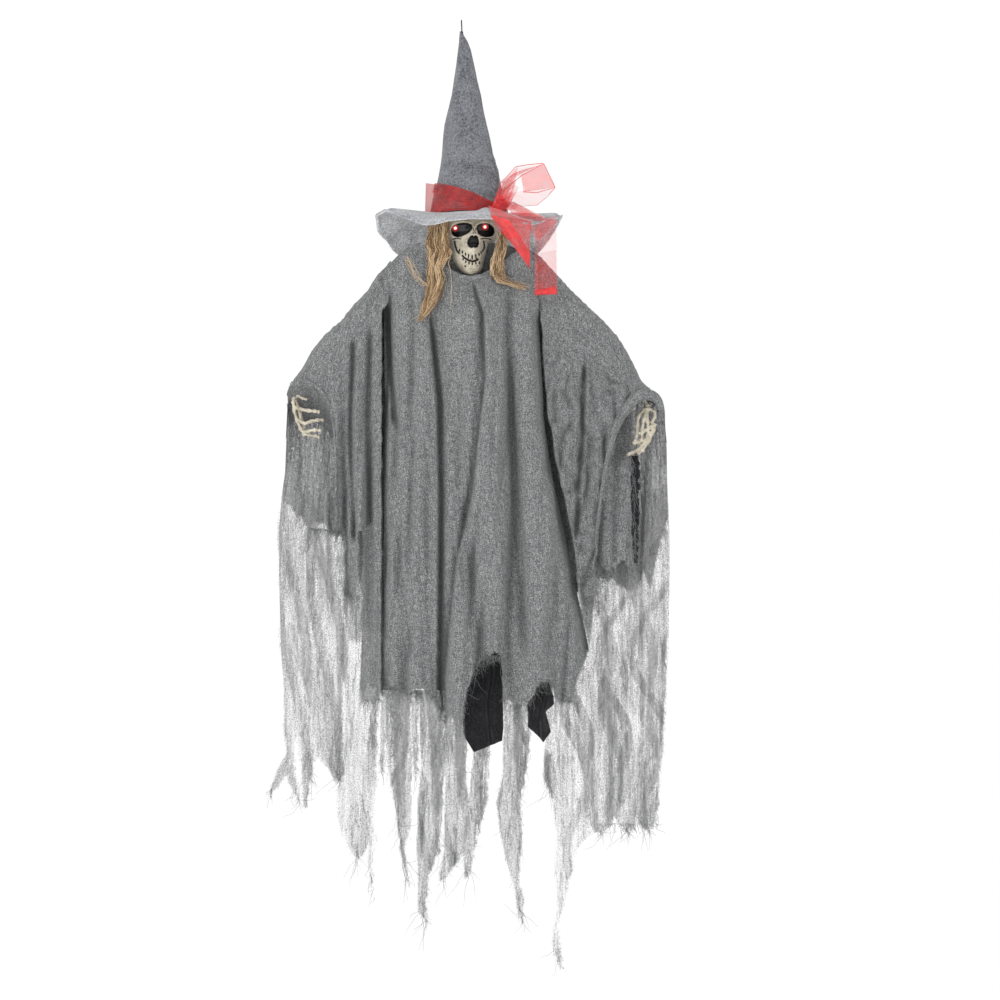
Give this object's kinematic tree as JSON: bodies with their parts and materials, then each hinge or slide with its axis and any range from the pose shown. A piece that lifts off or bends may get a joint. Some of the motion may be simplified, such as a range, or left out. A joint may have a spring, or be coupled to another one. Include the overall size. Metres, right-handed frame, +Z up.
{
  "type": "animated witch figure",
  "caption": "Hanging skull-faced witch in a pointed felt hat and torn gauze robe, with a motor-turned head, lit eyes, posable arms, loose legs and a battery housing inside.",
  "frame": {"origin": "where the hook bears inside the hanging loop at the hat's tip", "axes": "+Z up along gravity, -Y out of the face, +X to the viewer's right"},
  "size_m": [0.743, 0.35, 1.8035],
  "materials": {
    "bare_steel": "satin",
    "black_wire": "satin",
    "housing_plastic": "moulded, fine grain",
    "gear_nylon": "smooth",
    "speaker_black": "matte",
    "board_green": "satin",
    "cell_wrap": "gloss",
    "control_red": "gloss",
    "arm_alloy": "satin",
    "wrist_plastic": "satin",
    "arm_foam": "open foam",
    "bone_plastic": "moulded, with dark paint in the hollows",
    "lamp_red": "clear lens",
    "lead_pvc": "satin",
    "hat_felt": "mottled felt",
    "former_card": "plain",
    "ribbon_organza": "sheer",
    "hair_fibre": "combed fibre",
    "robe_gauze": "open weave, frayed",
    "leg_felt": "black felt"
  },
  "bodies": {
    "torso": {"hang_loop": "black_wire", "hanger_rod": "bare_steel", "rod_nut": "bare_steel", "torso_front_shell": "housing_plastic", "torso_rear_shell": "housing_plastic", "shell_screws": "bare_steel", "battery_cells": "cell_wrap", "battery_tray": "housing_plastic", "battery_contacts": "bare_steel", "switch_housing": "housing_plastic", "button_switch": "housing_plastic", "speaker": "speaker_black", "circuit_board": "board_green", "sound_sensor": "housing_plastic", "drive_motor": "bare_steel", "rod_collar": "bare_steel", "thrust_washer": "gear_nylon", "shoulder_bar": "bare_steel", "bar_screws": "bare_steel", "left_shoulder_pin": "bare_steel", "right_shoulder_pin": "bare_steel", "hip_bar": "bare_steel", "robe_body": "robe_gauze", "robe_tatters": "robe_gauze"},
    "head": {"neck_gear": "gear_nylon", "neck_tube": "gear_nylon", "neck_bushes": "gear_nylon", "skull_face": "bone_plastic", "skull_rear": "bone_plastic", "skull_bridge": "housing_plastic", "skull_screws": "bare_steel", "led_holder": "housing_plastic", "eye_leds": "lamp_red", "led_lead": "lead_pvc", "hat_cone": "hat_felt", "hat_brim": "hat_felt", "hat_former": "former_card", "ribbon_band": "ribbon_organza", "ribbon_bow": "ribbon_organza", "ribbon_tails": "ribbon_organza", "left_hair": "hair_fibre", "right_hair": "hair_fibre"},
    "pinion": {"drive_pinion": "gear_nylon"},
    "door": {"battery_door": "housing_plastic"},
    "switch": {"power_switch": "control_red"},
    "button": {"test_button": "control_red"},
    "left_arm": {"left_arm_tube": "arm_alloy", "left_wrist_socket": "wrist_plastic", "left_arm_padding": "arm_foam", "left_sleeve": "robe_gauze"},
    "left_hand": {"left_hand": "bone_plastic"},
    "left_drape": {"left_drape": "robe_gauze"},
    "left_leg": {"left_leg": "leg_felt"},
    "right_arm": {"right_arm_tube": "arm_alloy", "right_wrist_socket": "wrist_plastic", "right_arm_padding": "arm_foam", "right_sleeve": "robe_gauze"},
    "right_hand": {"right_hand": "bone_plastic"},
    "right_drape": {"right_drape": "robe_gauze"},
    "right_leg": {"right_leg": "leg_felt"}
  },
  "joints": [
    {"name": "head_turn", "type": "hinge", "parent": "torso", "child": "head", "pos_m": [0.021, 0, -0.495], "axis": [-0.0424, 0, 0.9991], "range_deg": [-30, 30]},
    {"name": "pinion_spin", "type": "hinge", "parent": "torso", "child": "pinion", "pos_m": [-0.00846, 0, -0.50826], "axis": [-0.0424, 0, 0.9991], "range_deg": [-92, 92]},
    {"name": "battery_door_slide", "type": "slide", "parent": "torso", "child": "door", "axis": [-0.0424, 0, 0.9991], "range_m": [0, 0.076]},
    {"name": "power_switch_slide", "type": "slide", "parent": "torso", "child": "switch", "axis": [-0.0424, 0, 0.9991], "range_m": [0, 0.004]},
    {"name": "test_button_press", "type": "slide", "parent": "torso", "child": "button", "axis": [0, -1, 0], "range_m": [0, 0.0015], "stiffness_N_per_m": 400},
    {"name": "left_shoulder_swing", "type": "hinge", "parent": "torso", "child": "left_arm", "pos_m": [-0.1044, 0, -0.48831], "axis": [0, 1, 0], "range_deg": [-10, 25]},
    {"name": "left_wrist_turn", "type": "hinge", "parent": "left_arm", "child": "left_hand", "pos_m": [-0.303, 0, -0.688], "axis": [-0.7052, 0, -0.709], "range_deg": [-25, 25]},
    {"name": "left_drape_carry", "type": "slide", "parent": "torso", "child": "left_drape", "axis": [-0.6109, 0, 0.7917], "range_m": [-0.05063, 0.12657]},
    {"name": "left_leg_swing", "type": "hinge", "parent": "torso", "child": "left_leg", "pos_m": [-0.0058, 0, -0.712], "axis": [1, 0, 0], "range_deg": [-4, 4]},
    {"name": "right_shoulder_swing", "type": "hinge", "parent": "torso", "child": "right_arm", "pos_m": [0.14538, 0, -0.47771], "axis": [0, -1, 0], "range_deg": [-10, 25]},
    {"name": "right_wrist_turn", "type": "hinge", "parent": "right_arm", "child": "right_hand", "pos_m": [0.36, 0, -0.722], "axis": [0.66, 0, -0.7512], "range_deg": [-25, 25]},
    {"name": "right_drape_carry", "type": "slide", "parent": "torso", "child": "right_drape", "axis": [0.6587, 0, 0.7524], "range_m": [-0.05846, 0.14614]},
    {"name": "right_leg_swing", "type": "hinge", "parent": "torso", "child": "right_leg", "pos_m": [0.0662, 0, -0.712], "axis": [1, 0, 0], "range_deg": [-4, 4]}
  ],
  "couplings": [
    {"joint": "pinion_spin", "follows": "head_turn", "ratio": -3},
    {"joint": "left_drape_carry", "follows": "left_shoulder_swing", "m_per_rad": 0.28164},
    {"joint": "right_drape_carry", "follows": "right_shoulder_swing", "m_per_rad": 0.32517}
  ]
}
